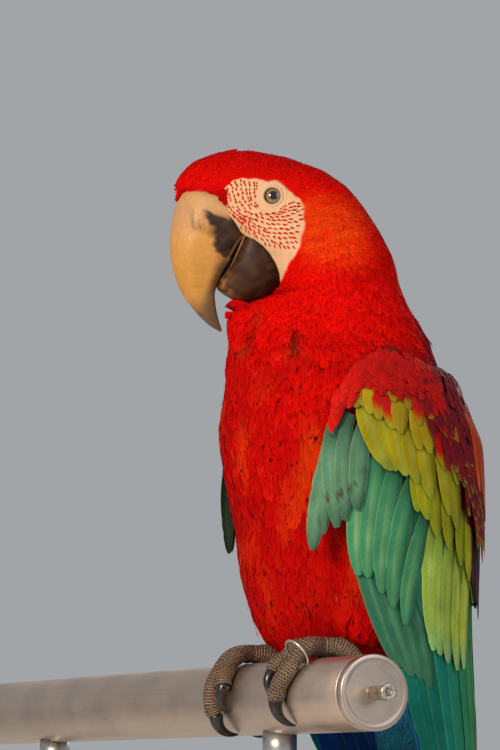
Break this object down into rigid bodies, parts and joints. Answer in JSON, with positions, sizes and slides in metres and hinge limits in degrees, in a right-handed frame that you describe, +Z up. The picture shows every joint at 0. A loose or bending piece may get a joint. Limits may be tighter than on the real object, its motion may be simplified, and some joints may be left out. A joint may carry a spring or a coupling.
{
  "type": "green-winged macaw",
  "caption": "Life-size still model of a green-winged macaw with a red body, green and blue wings and a hooked bill, gripping a cut metal tube on a plain display stand.",
  "frame": {"origin": "on the underside of the stand's base, straight below the perch tube's axis at the bird's mid plane", "axes": "+Z up; the bird faces -Y with its head turned about 27 degrees to its right; its left side is +X, and the perch tube runs along X"},
  "size_m": [0.5706, 0.32, 0.8266],
  "materials": {
    "red_feathers": "soft overlapping feathers, satin",
    "wing_feathers": "stiff vanes, satin, red over yellow-green over teal and blue",
    "tail_feathers": "long stiff vanes, maroon with blue tips, blue outer feathers",
    "blue_feathers": "soft light blue coverts",
    "bill_ivory": "horn, ivory with dark grey marks, satin gloss",
    "bill_dark": "horn, brown-black with fine scratches",
    "eye": "wet gloss, pale straw iris",
    "foot_skin": "scaly grey-brown skin",
    "claw": "black horn, satin gloss",
    "leg_ring": "worn bright steel wire",
    "perch_metal": "brushed, with fine scratches",
    "stand_wood": "oiled wood, rounded edges",
    "stand_metal": "satin"
  },
  "bodies": {
    "root": {"bill_lower": "bill_dark", "bill_upper": "bill_ivory", "claw_left_back_inner": "claw", "claw_left_back_outer": "claw", "claw_left_front_inner": "claw", "claw_left_front_outer": "claw", "claw_right_back_inner": "claw", "claw_right_back_outer": "claw", "claw_right_front_inner": "claw", "claw_right_front_outer": "claw", "eye_left": "eye", "eye_right": "eye", "foot_left": "foot_skin", "foot_right": "foot_skin", "head": "red_feathers", "leg_ring": "leg_ring", "neck": "red_feathers", "perch_bolt": "perch_metal", "perch_cap": "perch_metal", "perch_tube": "perch_metal", "rump": "blue_feathers", "stand_base": "stand_wood", "stand_rod_far": "stand_metal", "stand_rod_front": "stand_metal", "tail_left_1": "tail_feathers", "tail_left_2": "tail_feathers", "tail_left_3": "tail_feathers", "tail_left_4": "tail_feathers", "tail_left_5": "tail_feathers", "tail_left_6": "tail_feathers", "tail_right_1": "tail_feathers", "tail_right_2": "tail_feathers", "tail_right_3": "tail_feathers", "tail_right_4": "tail_feathers", "tail_right_5": "tail_feathers", "tail_right_6": "tail_feathers", "thigh_left": "red_feathers", "thigh_right": "red_feathers", "trunk": "red_feathers", "wing_left_coverts": "wing_feathers", "wing_left_front": "wing_feathers", "wing_left_primaries": "wing_feathers", "wing_left_secondaries": "wing_feathers", "wing_left_tertials": "wing_feathers", "wing_right_coverts": "wing_feathers", "wing_right_front": "wing_feathers", "wing_right_primaries": "wing_feathers", "wing_right_secondaries": "wing_feathers", "wing_right_tertials": "wing_feathers"}
  },
  "joints": []
}
